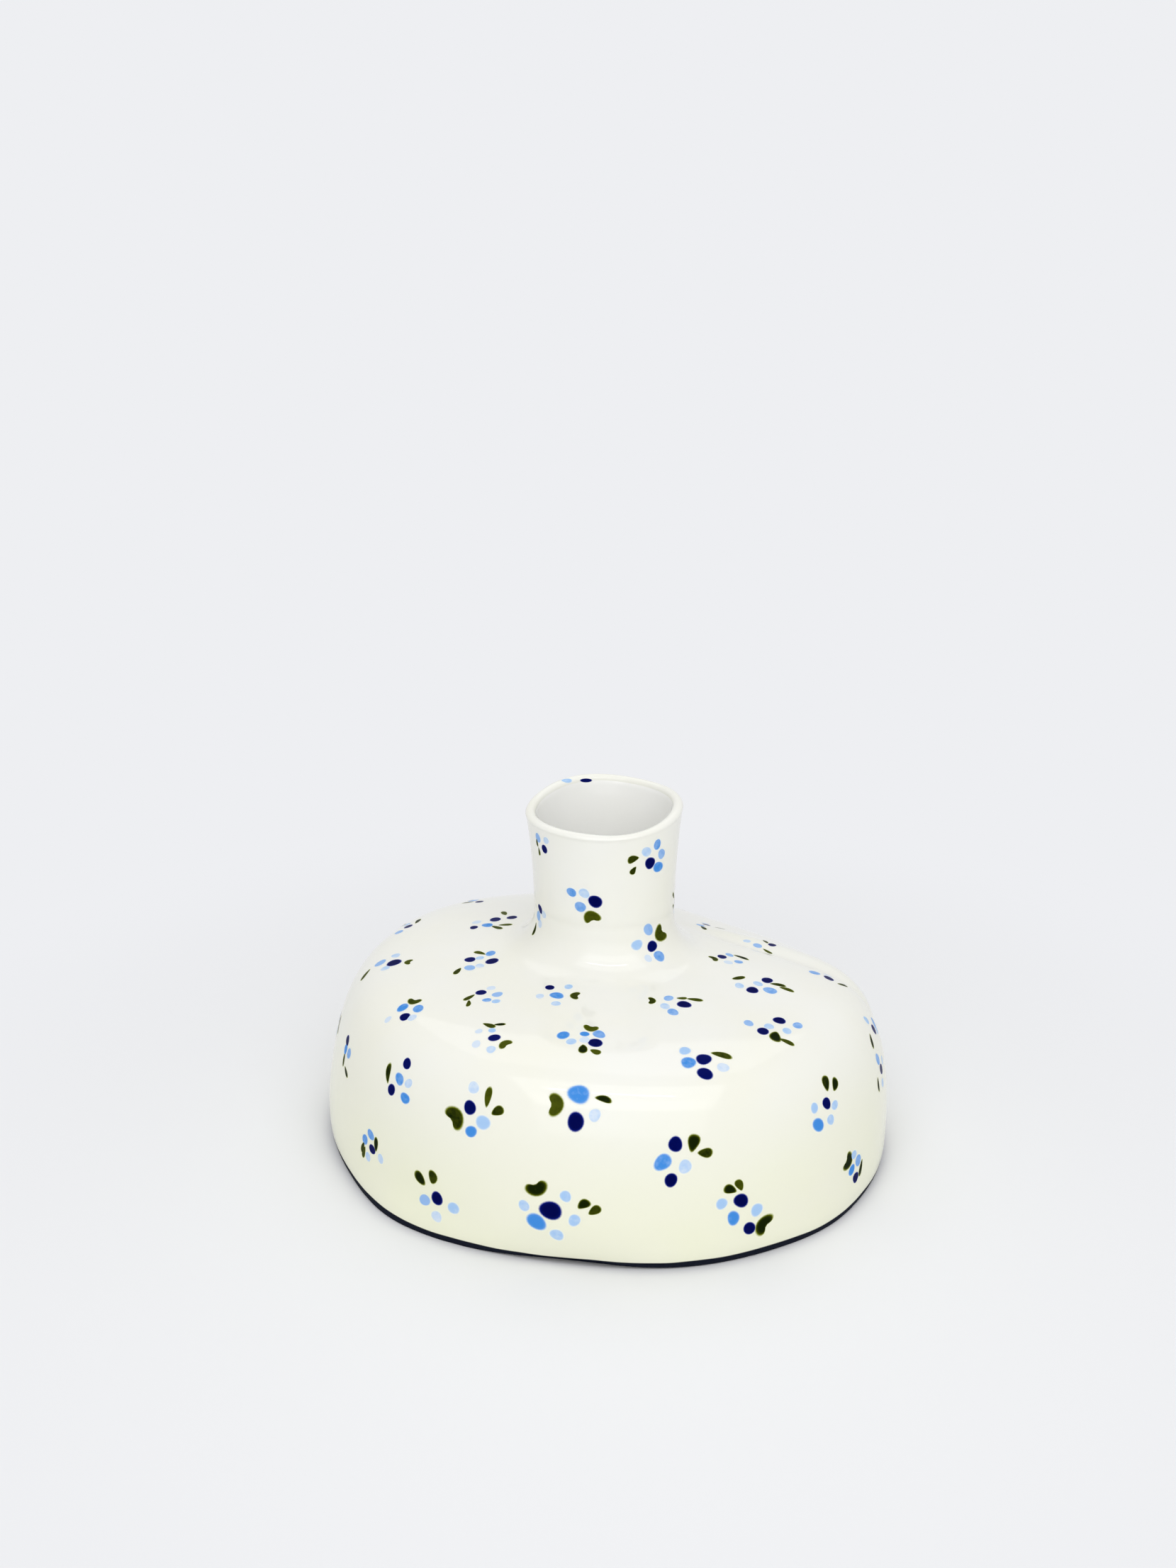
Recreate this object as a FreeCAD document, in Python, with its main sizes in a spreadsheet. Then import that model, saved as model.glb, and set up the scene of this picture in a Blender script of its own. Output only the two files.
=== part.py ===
import FreeCAD, Part
import Sketcher
import math
import os

# Pillow vase: a squat, puffed-up stoneware cushion with a short flared neck.
# The potter presses a front and a back half, luts them together along the sides,
# stands them on a flat floor slab and sets a collar for the neck on top.
# Millimetres, +Z up, the front faces -Y, the origin is on the table under the middle.

os.makedirs("parts", exist_ok=True)
doc = FreeCAD.newDocument("pillow_vase")

# Driving sizes: alias, value, note
size_rows = [
    ("body_width", 200, "left to right over the puffed sides"),
    ("body_depth", 184, "front to back over the puffed faces"),
    ("floor_thickness", 7, "floor slab; its top is also the widest line of the body"),
    ("floor_round", 6, "how far the rubbed lower edge of the slab draws in"),
    ("root_height", 69, "height of the top where it meets the neck"),
    ("left_fall", 7, "drop of the top from the neck to the left edge"),
    ("right_fall", 11.5, "drop of the top from the neck to the right edge"),
    ("front_fall", 7, "drop of the top from the neck to the front edge"),
    ("back_fall", 26, "drop of the top from the neck to the back edge"),
    ("shell_wall", 5, "wall of the two halves"),
    ("neck_width", 49.5, "outside width of the neck at its waist"),
    ("neck_depth", 44.5, "outside depth of the neck at its waist"),
    ("neck_left_shift", 1.5, "how far the neck stands left of the middle"),
    ("neck_back_shift", 1.5, "how far the neck stands behind the middle"),
    ("root_hollow", 12, "radius of the hollow where the top sweeps up into the neck"),
    ("stub_height", 14, "height of the stub that carries the collar, above the root"),
    ("mouth_height", 120, "middle of the mouth above the table"),
    ("mouth_width", 54, "outside width of the lip"),
    ("mouth_depth", 53, "outside depth of the lip"),
    ("mouth_rise", 2.5, "how much the back of the lip stands above its middle"),
    ("neck_wall", 4.5, "wall of the neck at the stub"),
    ("lip_wall", 3.6, "wall of the neck at the lip"),
    ("lip_round", 1.4, "rounding of the lip's two edges"),
    ("cut_overrun", 3, "how far every cut runs past what it cuts"),
]

# This far out from the neck the top turns down, and there it still has these shares of its height
shoulder_reach_share = 0.93
right_shoulder_share = 0.77
back_shoulder_share = 0.76
left_shoulder_share = 0.63
front_shoulder_share = 0.77

# Where the rings of the body lie between the root of the neck (0) and the widest line (1)
ring_shares = (1, 0.998, 0.99, 0.97, 0.93, 0.87, 0.78, 0.64, 0.46, 0.3)
inside_ring_shares = (1, 0.985, 0.95, 0.88, 0.76, 0.58, 0.34)
# Steps round the quarter circle of the root hollow
hollow_turn_shares = (0.1, 0.4, 0.7, 1)
inside_turn_shares = (0.35, 0.7, 1)
# Rings of the collar below its lip: share of its height, share of the flare
collar_shares = ((0, 0), (0.28, 0.03), (0.5, 0.17), (0.72, 0.45), (0.88, 0.75))
lip_turn_shares = (0, 0.5, 1)
half_share = 0.5
# Points of a ring, steps of the slab's rubbed edge, degrees in a quarter turn
ring_points = 12
rub_steps = 6
quarter_turn = 90

sheet = doc.addObject("Spreadsheet::Sheet", "Sizes")
for row, (alias, value, note) in enumerate(size_rows, start=1):
    sheet.set("A%d" % row, alias)
    sheet.set("B%d" % row, str(value))
    sheet.set("C%d" % row, note)
    sheet.setAlias("B%d" % row, alias)
doc.recompute()


def size(alias):
    return float(sheet.get(alias))


# Plan of the vase

def edge_point(turn, inset):
    # widest line of the body, drawn in by inset
    across = (size("body_width") / 2 - inset) * math.cos(turn)
    along = (size("body_depth") / 2 - inset) * math.sin(turn)
    return FreeCAD.Vector(across, along, 0)


def neck_point(turn, width, depth, inset):
    # an oval of the neck, drawn in by inset
    across = (width / 2 - inset) * math.cos(turn) - size("neck_left_shift")
    along = (depth / 2 - inset) * math.sin(turn) + size("neck_back_shift")
    return FreeCAD.Vector(across, along, 0)


def root_point(turn, inset):
    return neck_point(turn, size("neck_width"), size("neck_depth"), inset)


def all_round(turn, right, back, left, front):
    # a value that passes smoothly from one side to the next
    side = right if math.cos(turn) > 0 else left
    end = back if math.sin(turn) > 0 else front
    return side * math.cos(turn) ** 2 + end * math.sin(turn) ** 2


def top_height(turn, share, inset):
    # height of the pillow's top at a share of the way from the neck to the widest line
    falls = [size(side + "_fall") for side in ("right", "back", "left", "front")]
    fall = all_round(turn, *falls)
    shoulder = all_round(turn, right_shoulder_share, back_shoulder_share,
                         left_shoulder_share, front_shoulder_share)
    out_power = math.log(half_share) / math.log(shoulder_reach_share)
    down_power = math.log(shoulder) / math.log(half_share)
    floor = size("floor_thickness")
    crown = size("root_height") - inset - floor - fall * share
    return floor + crown * (1 - share ** out_power) ** down_power


# Rings: closed curves with the same number of points. All start in the middle of the back,
# which keeps the line where a skin closes on itself away from the seam between the halves.

def ring(place):
    turns = [math.pi / 2 + 2 * math.pi * count / ring_points for count in range(ring_points)]
    steps = [count / ring_points for count in range(ring_points + 1)]
    curve = Part.BSplineCurve()
    curve.interpolate(Points=[place(turn) for turn in turns], PeriodicFlag=True, Parameters=steps)
    return Part.Wire([curve.toShape()])


def body_ring(share, inset):
    def place(turn):
        root = root_point(turn, inset)
        point = root + (edge_point(turn, inset) - root) * share
        point.z = top_height(turn, share, inset)
        return point
    return ring(place)


def hollow_ring(turn_share, inset, neck_inset):
    # quarter circle that leads the top up into the neck
    radius = size("root_hollow") + inset
    angle = turn_share * math.pi / 2
    away = radius * (1 - math.sin(angle))
    lift = radius * (1 - math.cos(angle))

    def place(turn):
        root = root_point(turn, neck_inset)
        outward = edge_point(turn, inset) - root
        share = away / outward.Length
        point = root + outward * share
        point.z = top_height(turn, share, inset) + lift
        return point
    return ring(place)


def level_ring(flat_place, height):
    def place(turn):
        point = flat_place(turn)
        point.z = height
        return point
    return ring(place)


def body_skin(inset, neck_inset, overrun, shares, turn_shares, ruled):
    # the whole pillow with its neck stub, as one closed skin
    floor = size("floor_thickness")
    stub_top = size("root_height") + size("stub_height")
    rings = []
    if overrun:
        rings.append(level_ring(lambda turn: edge_point(turn, inset), floor - overrun))
    rings += [body_ring(share, inset) for share in shares]
    rings += [hollow_ring(turn_share, inset, neck_inset) for turn_share in turn_shares]
    rings.append(level_ring(lambda turn: root_point(turn, neck_inset), stub_top))
    if overrun:
        rings.append(level_ring(lambda turn: root_point(turn, neck_inset), stub_top + overrun))
    return Part.makeLoft(rings, True, ruled)


def collar_skin(inset, lip_inset, round_inwards, overrun):
    # the neck above its stub: it flares and its mouth tips a little towards the front;
    # at the lip the outside rounds inwards and the bore outwards
    stub_top = size("root_height") + size("stub_height")
    rise = size("mouth_height") - stub_top
    widening = size("mouth_width") - size("neck_width")
    deepening = size("mouth_depth") - size("neck_depth")

    def collar_ring(share, flare, narrower, extra):
        def place(turn):
            drawn_in = inset + (lip_inset - inset) * share + narrower
            point = neck_point(turn, size("neck_width") + widening * flare,
                               size("neck_depth") + deepening * flare, drawn_in)
            tip = size("mouth_rise") * share * math.sin(turn)
            point.z = stub_top + rise * share + tip + extra
            return point
        return ring(place)

    rings = [collar_ring(share, flare, 0, 0) for share, flare in collar_shares]
    for turn_share in lip_turn_shares:
        angle = turn_share * math.pi / 2
        narrower = round_inwards * size("lip_round") * (1 - math.cos(angle))
        rings.append(collar_ring(1, 1, narrower, -size("lip_round") * (1 - math.sin(angle))))
    if overrun:
        rings.insert(0, collar_ring(0, 0, 0, -overrun))
        rings.append(collar_ring(1, 1, narrower, overrun))
    return Part.makeLoft(rings, True, True)


def shaped(name, shape):
    # a skin made from the sheet's sizes
    part = doc.addObject("Part::Feature", name)
    part.Shape = shape
    part.Placement = FreeCAD.Placement()
    return part


def cut(name, base, tool):
    part = doc.addObject("Part::Cut", name)
    part.Base = base
    part.Tool = tool
    # joining neighbouring faces would bend the strips of the inside
    part.Refine = False
    return part


# Floor slab: an oval tile whose lower edge is rubbed round

def origin_plane(body, role):
    return next(item for item in body.Origin.OriginFeatures if item.Role == role)


def oval_sketch(body, name, angle):
    # the slab's outline at an angle round its rubbed edge, from the underside (0) to the top
    drawn_in = "Sizes.floor_round * (1 - sin(%g deg))" % angle
    sketch = body.newObject("Sketcher::SketchObject", name)
    sketch.AttachmentSupport = (origin_plane(body, "XY_Plane"), [""])
    sketch.MapMode = "FlatFace"
    sketch.setExpression("AttachmentOffset.Base.z", "Sizes.floor_thickness * (1 - cos(%g deg))" % angle)
    # the longer axis of an oval is its first one
    axes = [("body_width", FreeCAD.Vector(1, 0, 0)), ("body_depth", FreeCAD.Vector(0, 1, 0))]
    axes.sort(key=lambda axis: size(axis[0]), reverse=True)
    (long_name, long_way), (short_name, short_way) = axes
    oval = sketch.addGeometry(Part.Ellipse(long_way * (size(long_name) / 2),
                                           short_way * (size(short_name) / 2),
                                           FreeCAD.Vector(0, 0, 0)), False)
    sketch.exposeInternalGeometry(oval)
    long_line, short_line = oval + 1, oval + 2
    sketch.addConstraint(Sketcher.Constraint("Coincident", oval, 3, -1, 1))
    level = "Horizontal" if long_name == "body_width" else "Vertical"
    sketch.addConstraint(Sketcher.Constraint(level, long_line))
    for line, full_size in ((long_line, long_name), (short_line, short_name)):
        index = sketch.addConstraint(Sketcher.Constraint("Distance", line, size(full_size)))
        sketch.renameConstraint(index, full_size)
        sketch.setExpression("Constraints." + full_size, "Sizes.%s - 2 * %s" % (full_size, drawn_in))
    return sketch


def make_base_slab():
    body = doc.addObject("PartDesign::Body", "base_slab")
    ovals = [oval_sketch(body, "rubbed_oval_%d" % step, quarter_turn * step / rub_steps)
             for step in range(rub_steps + 1)]
    tile = body.newObject("PartDesign::AdditiveLoft", "floor_tile")
    tile.Profile = ovals[0]
    tile.Sections = ovals[1:]
    tile.Ruled = True
    return body


# The two halves: one hollow pillow, parted along the luted seam through the neck's middle

def seam_room(name, front_side):
    # a box as deep as the whole body, which takes all that lies on one side of the seam
    room = doc.addObject("Part::Box", name)
    room.setExpression("Length", "Sizes.body_width + 2 * Sizes.cut_overrun")
    room.setExpression("Width", "Sizes.body_depth")
    room.setExpression("Height", "Sizes.root_height + Sizes.stub_height + 2 * Sizes.cut_overrun")
    room.setExpression("Placement.Base.x", "-Sizes.body_width / 2 - Sizes.cut_overrun")
    room.setExpression("Placement.Base.y", front_side)
    room.setExpression("Placement.Base.z", "-Sizes.cut_overrun")
    return room


def make_halves():
    outside = shaped("pillow_outside", body_skin(0, 0, 0, ring_shares, hollow_turn_shares, False))
    inside = shaped("pillow_inside", body_skin(size("shell_wall"), size("neck_wall"), size("cut_overrun"),
                                               inside_ring_shares, inside_turn_shares, True))
    hollow = cut("hollow_pillow", outside, inside)
    behind = seam_room("room_behind_seam", "Sizes.neck_back_shift")
    before = seam_room("room_before_seam", "Sizes.neck_back_shift - Sizes.body_depth")
    return [cut("front_shell", hollow, behind), cut("back_shell", hollow, before)]


# Neck collar: a strip rolled round, luted on the stub and opened out at the lip

def make_neck_collar():
    outside = shaped("collar_outside", collar_skin(0, 0, 1, 0))
    bore = shaped("collar_bore", collar_skin(size("neck_wall"), size("lip_wall"), -1, size("cut_overrun")))
    return cut("neck_collar", outside, bore)


sub_parts = [make_base_slab()] + make_halves() + [make_neck_collar()]
for part in sub_parts:
    part.Label = part.Name
doc.recompute()

# Nothing is written unless every object is sound
for item in doc.Objects:
    if "Invalid" in item.State or "Error" in item.State:
        raise RuntimeError(item.Name + " did not compute: " + str(item.State))
for part in sub_parts:
    if part.Shape.isNull() or not part.Shape.isValid() or len(part.Shape.Solids) != 1:
        raise RuntimeError(part.Name + " is not one sound solid")
    print("%-12s %9.0f mm3 %s" % (part.Label, part.Shape.Volume, part.Shape.BoundBox))
    part.Shape.exportStep("parts/%s.step" % part.Label)
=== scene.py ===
import math
import random

import bpy
import numpy as np
from mathutils import Euler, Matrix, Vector
from mathutils.bvhtree import BVHTree
from mathutils.interpolate import poly_3d_calc


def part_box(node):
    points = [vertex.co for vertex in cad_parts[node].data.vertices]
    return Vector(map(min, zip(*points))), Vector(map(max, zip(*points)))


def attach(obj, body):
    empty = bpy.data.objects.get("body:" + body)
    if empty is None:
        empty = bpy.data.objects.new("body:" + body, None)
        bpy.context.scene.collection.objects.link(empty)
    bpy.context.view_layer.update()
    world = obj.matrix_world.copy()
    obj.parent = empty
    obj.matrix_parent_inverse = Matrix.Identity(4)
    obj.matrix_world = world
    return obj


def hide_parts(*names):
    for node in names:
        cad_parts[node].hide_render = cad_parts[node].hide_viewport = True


# Pillow vase: hand-built stoneware, cream glaze, small painted sprigs.
# Lengths are in millimetres unless a name or a note says otherwise, and mm turns them to metres.

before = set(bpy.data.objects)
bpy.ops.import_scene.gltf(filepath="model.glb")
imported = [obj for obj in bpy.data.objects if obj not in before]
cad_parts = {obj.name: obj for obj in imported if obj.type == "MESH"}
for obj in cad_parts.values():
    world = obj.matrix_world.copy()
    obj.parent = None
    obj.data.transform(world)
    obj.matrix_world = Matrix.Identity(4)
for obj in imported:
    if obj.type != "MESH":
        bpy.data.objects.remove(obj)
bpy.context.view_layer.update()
mm = 0.001
quarter = math.pi / 2
print("frame loaded:", sorted(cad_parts))

# Real sizes, from the frame
slabLow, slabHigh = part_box("base_slab")
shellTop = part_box("front_shell")[1].z
collarLow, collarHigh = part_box("neck_collar")

pillow = {
    "halfWidth": (slabHigh.x - slabLow.x) / 2 / mm,
    "halfDepth": (slabHigh.y - slabLow.y) / 2 / mm,
    "widestHeight": slabHigh.z / mm,
    "rootHeight": 69,           # where the top meets the neck
    "wall": 5,
    "rootHollow": 12,           # radius of the sweep from the top up into the neck
    "turnDown": 0.93,           # share of the way out at which the shoulder is measured
    "falls": (11.5, 26, 7, 7),  # drop of the top towards the right, back, left and front
    "shoulders": (0.77, 0.76, 0.63, 0.77),  # height left at the shoulder, same order
    "columns": 320,
    "topRows": 84,
    "crowding": 2.2,            # how much the rows crowd together at the shoulder
    "hollowRows": 16,
    "stubRows": 3,
}
neck = {
    "stubTop": shellTop / mm,
    "left": -(collarLow.x + collarHigh.x) / 2 / mm,
    "behind": (collarLow.y + collarHigh.y) / 2 / mm,
    "halfWidth": 24.75,
    "halfDepth": 22.25,
    "mouthHalfWidth": (collarHigh.x - collarLow.x) / 2 / mm,
    "mouthHalfDepth": (collarHigh.y - collarLow.y) / 2 / mm,
    "mouthRise": 2.5,           # the back of the lip stands higher: the mouth tips forward
    "wall": 4.5,
    "lipWall": 3.6,
    "lipRound": 1.8,
    "flarePower": 1.9,          # the flare gathers towards the lip
    "rows": 34,
    "lipRows": 14,
}
neck["mouthHeight"] = collarHigh.z / mm - neck["mouthRise"]


# Shape of the clay, as in the CAD model, one array entry for each turn round the vase

def allRound(turn, right, back, left, front):
    # passes smoothly from one side's value to the next
    side = np.where(np.cos(turn) > 0, right, left)
    end = np.where(np.sin(turn) > 0, back, front)
    return side * np.cos(turn) ** 2 + end * np.sin(turn) ** 2


def oval(turn, halfWidth, halfDepth, height):
    across = halfWidth * np.cos(turn)
    along = halfDepth * np.sin(turn)
    return np.stack([across, along, np.full_like(turn, 1.0) * height], axis=-1)


def neckOval(turn, halfWidth, halfDepth, height):
    return oval(turn, halfWidth, halfDepth, height) + np.array([-neck["left"], neck["behind"], 0])


def topHeight(turn, share, inset):
    # at the shoulder the first power gives a half, and the second makes it the height that is left there
    outPower = math.log(0.5) / math.log(pillow["turnDown"])
    downPower = np.log(allRound(turn, *pillow["shoulders"])) / math.log(0.5)
    crown = pillow["rootHeight"] - inset - pillow["widestHeight"] - allRound(turn, *pillow["falls"]) * share
    return pillow["widestHeight"] + crown * np.clip(1 - share ** outPower, 0, 1) ** downPower


def pillowRows(turn, inset, neckInset):
    # from the widest line over the shoulder and the hollow to the top of the neck's stub
    root = neckOval(turn, neck["halfWidth"] - neckInset, neck["halfDepth"] - neckInset, 0)
    edge = oval(turn, pillow["halfWidth"] - inset, pillow["halfDepth"] - inset, 0)
    reach = np.linalg.norm(edge - root, axis=-1)
    radius = pillow["rootHollow"] + inset
    rows = []

    def row(share, lift):
        points = root + (edge - root) * share[:, None]
        points[:, 2] = topHeight(turn, share, inset) + lift
        rows.append(points)

    for step in np.linspace(1, 0, pillow["topRows"]):
        start = radius / reach
        row(start + (1 - start) * (1 - (1 - step) ** pillow["crowding"]), 0)
    for angle in np.linspace(0, quarter, pillow["hollowRows"])[1:]:
        row(radius * (1 - math.sin(angle)) / reach, radius * (1 - math.cos(angle)))
    stubFoot = rows[-1][:, 2].copy()
    for step in np.linspace(0, 1, pillow["stubRows"])[1:]:
        points = root.copy()
        points[:, 2] = stubFoot + (neck["stubTop"] - stubFoot) * step
        rows.append(points)
    return rows


def collarRows(turn, innerToo):
    # up the outside of the neck, over the lip and, if asked, down the bore
    rise = neck["mouthHeight"] - neck["stubTop"]

    def row(share, inset, lift):
        flare = share ** neck["flarePower"]
        width = neck["halfWidth"] + (neck["mouthHalfWidth"] - neck["halfWidth"]) * flare - inset
        depth = neck["halfDepth"] + (neck["mouthHalfDepth"] - neck["halfDepth"]) * flare - inset
        height = neck["stubTop"] + rise * share + neck["mouthRise"] * share * np.sin(turn) + lift
        return neckOval(turn, width, depth, height)

    shares = np.linspace(0, 1, neck["rows"])
    lipShare = 1 - neck["lipRound"] / rise
    rows = [row(share * lipShare, 0, 0) for share in shares]
    for angle in np.linspace(0, math.pi, neck["lipRows"])[1:]:
        inset = neck["lipWall"] / 2 * (1 - math.cos(angle))
        rows.append(row(1, inset, neck["lipRound"] * (math.sin(angle) - 1)))
    if innerToo:
        for share in shares[::-1]:
            inset = neck["wall"] + (neck["lipWall"] - neck["wall"]) * share
            rows.append(row(share * lipShare, inset, 0))
    return rows


# The rings of its two flat faces are shares of the way out
slabForm = {"drawnIn": 1.6, "edgeRows": 12, "underRings": (0, 0.5), "insideRings": (0.9, 0.5, 0)}


def slabRows(turn):
    # the rubbed lower edge of the floor slab, from the underside to the widest line
    rows = []
    for angle in np.linspace(0, quarter, slabForm["edgeRows"]):
        inset = slabForm["drawnIn"] * (1 - math.sin(angle))
        height = pillow["widestHeight"] * (1 - math.cos(angle))
        rows.append(oval(turn, pillow["halfWidth"] - inset, pillow["halfDepth"] - inset, height))
    return rows


# What the potter's hands left: a smoothed seam over the right shoulder, a joint round the neck, soft dents
seam = {
    "behind": 36,
    "groove": 0.9,
    "grooveWidth": 4,
    "ridge": 1.1,
    "ridgeAway": 9,
    "ridgeWidth": 6,
    "starts": 4,            # out from the middle, and how far on it is full
    "fadesIn": 40,
    "startsUp": 22,         # the same up the wall
    "fadesInUp": 26,
}
joint = {"groove": 0.28, "width": 1.5, "height": neck["stubTop"]}
lipWave = {"size": 0.55, "waves": 3, "start": 0.6, "reach": 25}
bodyWaves = {
    "waves": ((3, 0.7, 0.22), (5, 2.1, 0.12), (8, 0, 0.05)),    # how many, where they start, how high
    "fullAbove": 20,
    "leastAtFoot": 0.2,
    "fullBeyond": 60,
    "leastAtNeck": 0.4,
}
# Each dent or swelling: turn in degrees, height, how far round and up it goes, how much it swells
hands = {
    "footLeftSwelling": (249, 0, 14, 9, 2.8),
    "footFrontDent": (286, 0, 14, 9, -2.4),
    "footRightSwelling": (340, 0, 10, 9, 0.8),
    "lowLeftSwelling": (208, 14, 20, 16, 0.8),
    "rightDent": (352, 52, 18, 14, -0.8),
    "frontSwelling": (262, 40, 30, 18, 0.5),
    "backLeftSwelling": (140, 34, 28, 20, 0.8),
    "backSwelling": (106, 52, 32, 16, 5.2),
    "backDent": (60, 26, 24, 14, -0.6),
    "topDent": (300, 66, 24, 10, -0.35),
}


def bell(distance, width):
    return np.exp(-(distance / width) ** 2)


def ease(share):
    share = np.clip(share, 0, 1)
    return share * share * (3 - 2 * share)


def handWork(points, turn):
    # how far each point moves out along the surface, in millimetres
    radius = np.hypot(points[..., 0], points[..., 1])
    height = points[..., 2]
    fromSeam = points[..., 1] - seam["behind"]
    onShoulder = ease((height - seam["startsUp"]) / seam["fadesInUp"])
    onShoulder = onShoulder * ease((points[..., 0] - seam["starts"]) / seam["fadesIn"])
    move = seam["ridge"] * bell(fromSeam - seam["ridgeAway"], seam["ridgeWidth"])
    move = (move - seam["groove"] * bell(fromSeam, seam["grooveWidth"])) * onShoulder
    move = move - joint["groove"] * bell(height - joint["height"], joint["width"])
    for turnDegrees, middle, around, up, swell in hands.values():
        away = (np.degrees(turn) - turnDegrees + 180) % 360 - 180
        move = move + swell * bell(away, around)[None, :] * bell(height - middle, up)
    slow = sum(np.sin(count * turn + start) * size for count, start, size in bodyWaves["waves"])
    slow = slow[None, :] * np.clip(height / bodyWaves["fullAbove"], bodyWaves["leastAtFoot"], 1)
    return move + slow * np.clip(radius / bodyWaves["fullBeyond"], bodyWaves["leastAtNeck"], 1)


def gridNormals(points):
    # columns go all the way round, rows go up
    around = np.roll(points, -1, axis=1) - np.roll(points, 1, axis=1)
    up = np.gradient(points, axis=0)
    normals = np.cross(around, up)
    return normals / np.maximum(np.linalg.norm(normals, axis=-1, keepdims=True), 1e-9)


turns = np.arange(pillow["columns"]) * 2 * math.pi / pillow["columns"]


def lipLift(height):
    # the lip isn't cut quite level
    near = np.clip((height - neck["mouthHeight"] + lipWave["reach"]) / lipWave["reach"], 0, 1) ** 2
    return lipWave["size"] * np.sin(lipWave["waves"] * turns + lipWave["start"])[None, :] * near


slabPart, bodyPart, neckPart = slabRows(turns), pillowRows(turns, 0, 0), collarRows(turns, False)
outside = np.array(slabPart + bodyPart[1:] + neckPart[1:])
outside = outside + gridNormals(outside) * handWork(outside, turns)[..., None]
outside[..., 2] = np.maximum(outside[..., 2], 0)
outside[..., 2] += lipLift(outside[..., 2])
outsideNormals = gridNormals(outside)
slabEnd = len(slabPart)
bodyEnd = slabEnd + len(bodyPart) - 1
bore = np.array(collarRows(turns, True)[len(neckPart):])
bore[..., 2] += lipLift(bore[..., 2])
inside = np.array(pillowRows(turns, pillow["wall"], neck["wall"]))
print("clay shaped:", outside.shape, "points outside")


# Meshes

def placePiece(mesh):
    piece = bpy.data.objects.new(mesh.name, mesh)
    bpy.context.scene.collection.objects.link(piece)
    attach(piece, "root")
    return piece


def makeMesh(name, sheets, material, nodeName):
    # a sheet is a grid of points, its normals or None for plain faces, and whether its faces are turned over
    index, verts, faces, loopNormals = {}, [], [], []

    def vert(point):
        key = tuple(np.round(point, 5))
        if key not in index:
            index[key] = len(verts)
            verts.append(Vector(point) * mm)
        return index[key]

    for points, normals, turned in sheets:
        rows, columns = len(points), len(points[0])
        ids = [[vert(points[r][c]) for c in range(columns)] for r in range(rows)]
        for r in range(rows - 1):
            for c in range(columns - 1):
                corners = [(r, c), (r, c + 1), (r + 1, c + 1), (r + 1, c)]
                if turned:
                    corners.reverse()
                face = [ids[i][j] for i, j in corners]
                kept = [k for k in range(4) if face[k] != face[k - 1]]
                if len(kept) < 3:
                    continue
                faces.append([face[k] for k in kept])
                first, second, third = (verts[k] for k in faces[-1][:3])
                flat = (second - first).cross(third - first).normalized()
                for k in kept:
                    i, j = corners[k]
                    loopNormals.append(flat if normals is None else Vector(normals[i][j]))
    mesh = bpy.data.meshes.new(name)
    mesh.from_pydata(verts, [], faces)
    mesh.polygons.foreach_set("use_smooth", [True] * len(faces))
    mesh.normals_split_custom_set(loopNormals)
    mesh.materials.append(material)
    piece = placePiece(mesh)
    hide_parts(nodeName)
    return piece


def closed(grid):
    # the first column again at the end
    return np.concatenate([grid, grid[:, :1]], axis=1)


def linear(hexColour):
    channels = [int(hexColour[start:start + 2], 16) / 255 for start in (1, 3, 5)]
    return [c / 12.92 if c <= 0.04045 else ((c + 0.055) / 1.055) ** 2.4 for c in channels] + [1]


def addNode(tree, kind, inputs, output=0, **settings):
    # gives back one output of the new node, the first unless another is asked for
    node = tree.nodes.new("ShaderNode" + kind)
    for name, value in settings.items():
        setattr(node, name, value)
    for name, value in inputs.items():
        if isinstance(value, bpy.types.NodeSocket):
            tree.links.new(value, node.inputs[name])
        else:
            node.inputs[name].default_value = value
    return node.outputs[output] if node.outputs else None


# Cream gloss glaze, poured over white slip and fired: a wet, glassy skin that is whiter where it
# ran thin over the top and creamier where it pooled low on the wall, with long soft waves in the shine
glaze = {
    "thin": "#F6F6F0",
    "pooled": "#F4F5DC",
    "thinAbove": 66,            # heights in mm
    "pooledBelow": 12,
    "blotch": "#F5F4E4",
    "blotchSize": 38,           # mm across
    "blotchStarts": 0.35,       # of the noise, from 0 to 1
    "blotchFull": 0.7,
    "blotchMost": 0.6,
    "liner": "#FEFEFD",
    "waveSize": 17,             # mm from wave to wave
    "waveHeight": 0.6,
    "waveStrength": 0.12,
    "roughness": 0.07,
    "ior": 1.5,
    "iorOverPaint": 1.07,       # lower than the real 1.5, because the photograph's dark dabs hold no haze
}


def newMaterial(name):
    material = bpy.data.materials.new(name)
    material.use_nodes = True
    material.node_tree.nodes.clear()
    return material, material.node_tree


def glazeColour(tree):
    place = addNode(tree, "TexCoord", {}, "Object")
    height = addNode(tree, "SeparateXYZ", {0: place}, "Z")
    low = addNode(tree, "MapRange", {"Value": height, "From Min": glaze["thinAbove"] * mm,
                                     "From Max": glaze["pooledBelow"] * mm},
                  interpolation_type="SMOOTHSTEP")
    ran = addNode(tree, "Mix", {0: low, 6: linear(glaze["thin"]), 7: linear(glaze["pooled"])}, 2,
                  data_type="RGBA")
    blotch = addNode(tree, "TexNoise", {"Vector": place, "Scale": 1 / (glaze["blotchSize"] * mm),
                                        "Detail": 2})
    patchy = addNode(tree, "MapRange", {"Value": blotch, "From Min": glaze["blotchStarts"],
                                        "From Max": glaze["blotchFull"],
                                        "To Max": glaze["blotchMost"]})
    colour = addNode(tree, "Mix", {0: patchy, 6: ran, 7: linear(glaze["blotch"])}, 2, data_type="RGBA")
    return place, colour


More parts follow.
